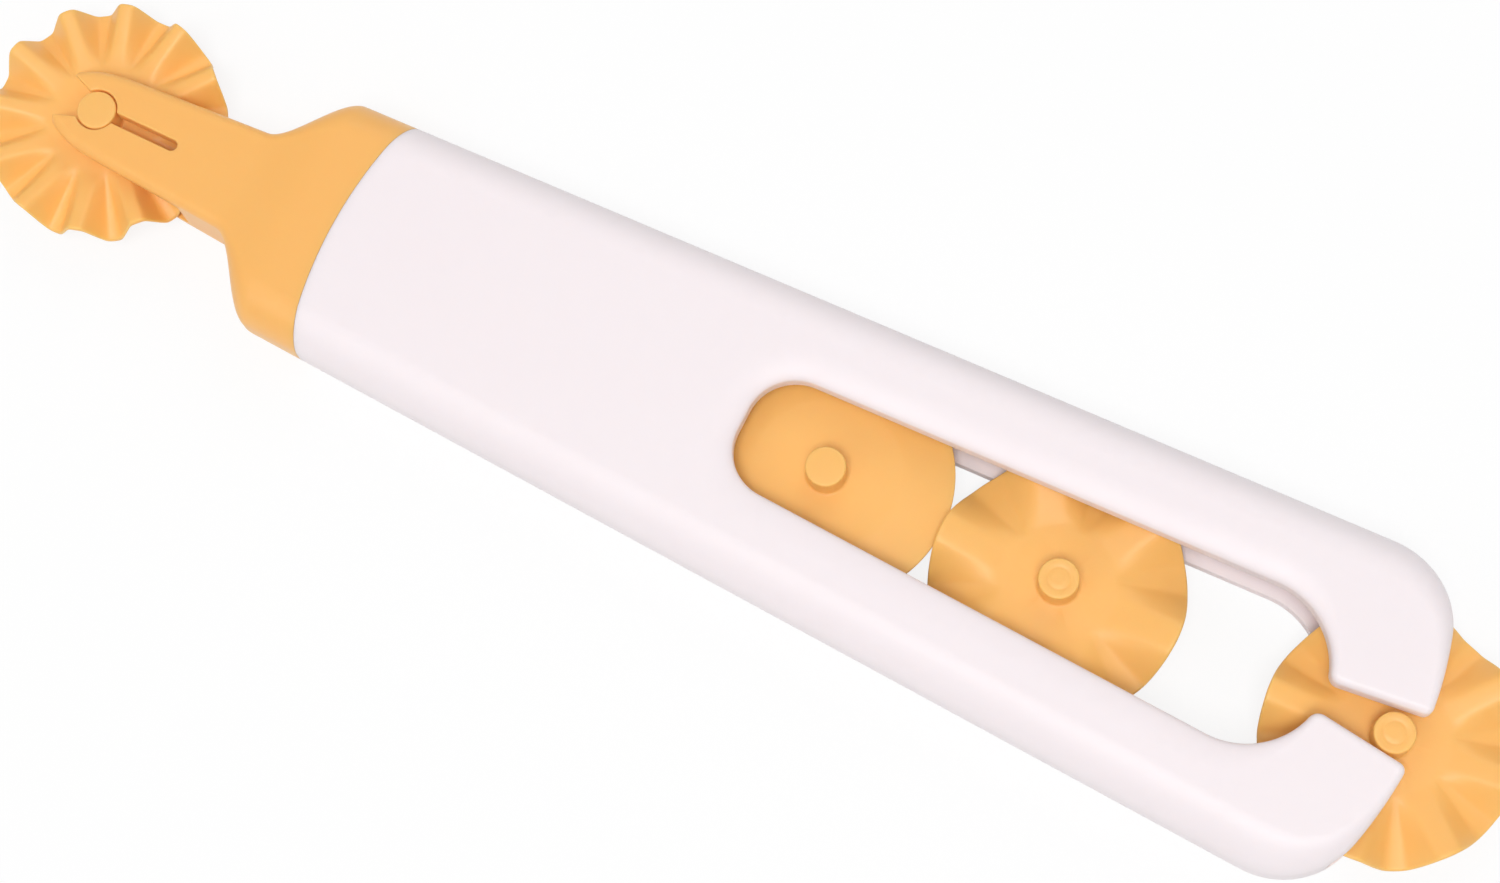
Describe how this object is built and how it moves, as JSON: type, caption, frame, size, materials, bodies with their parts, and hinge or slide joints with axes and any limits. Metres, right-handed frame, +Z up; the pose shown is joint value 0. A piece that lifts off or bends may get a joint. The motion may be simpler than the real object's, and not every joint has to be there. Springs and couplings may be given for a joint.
{
  "type": "pastry crimping wheel with stored spare wheels",
  "caption": "Hand tool for cutting and crimping dough: a fluted wheel turns in a fork head, and spare wheels of other patterns slide in a track inside the flat tapered handle.",
  "frame": {"origin": "on the table under the middle of the tool's length, with the handle lying on its flat lower face", "axes": "+X along the tool from the fork to the mouth of the handle, +Y across it, +Z up out of the upper face"},
  "size_m": [0.2168, 0.045, 0.013],
  "materials": {
    "white_plastic": "satin",
    "orange_plastic": "satin"
  },
  "bodies": {
    "body": {"handle": "white_plastic", "fork_head": "orange_plastic"},
    "fine_wheel": {"fine_wheel": "orange_plastic"},
    "plain_wheel": {"plain_wheel": "orange_plastic"},
    "broad_wheel": {"broad_wheel": "orange_plastic"},
    "medium_wheel": {"medium_wheel": "orange_plastic"}
  },
  "joints": [
    {"name": "fine_wheel_turn", "type": "hinge", "parent": "body", "child": "fine_wheel", "pos_m": [-0.09245, 0, 0.0065], "axis": [0, 0, 1], "continuous": true},
    {"name": "medium_wheel_slide", "type": "slide", "parent": "body", "child": "medium_wheel", "axis": [1, 0, 0], "range_m": [-0.003, 0.0193]},
    {"name": "broad_wheel_slide", "type": "slide", "parent": "body", "child": "broad_wheel", "axis": [1, 0, 0], "range_m": [0, 0.009]},
    {"name": "plain_wheel_slide", "type": "slide", "parent": "body", "child": "plain_wheel", "axis": [1, 0, 0], "range_m": [0, 0.009]}
  ],
  "couplings": [
    {"joint": "plain_wheel_slide", "follows": "broad_wheel_slide", "ratio": 1}
  ]
}
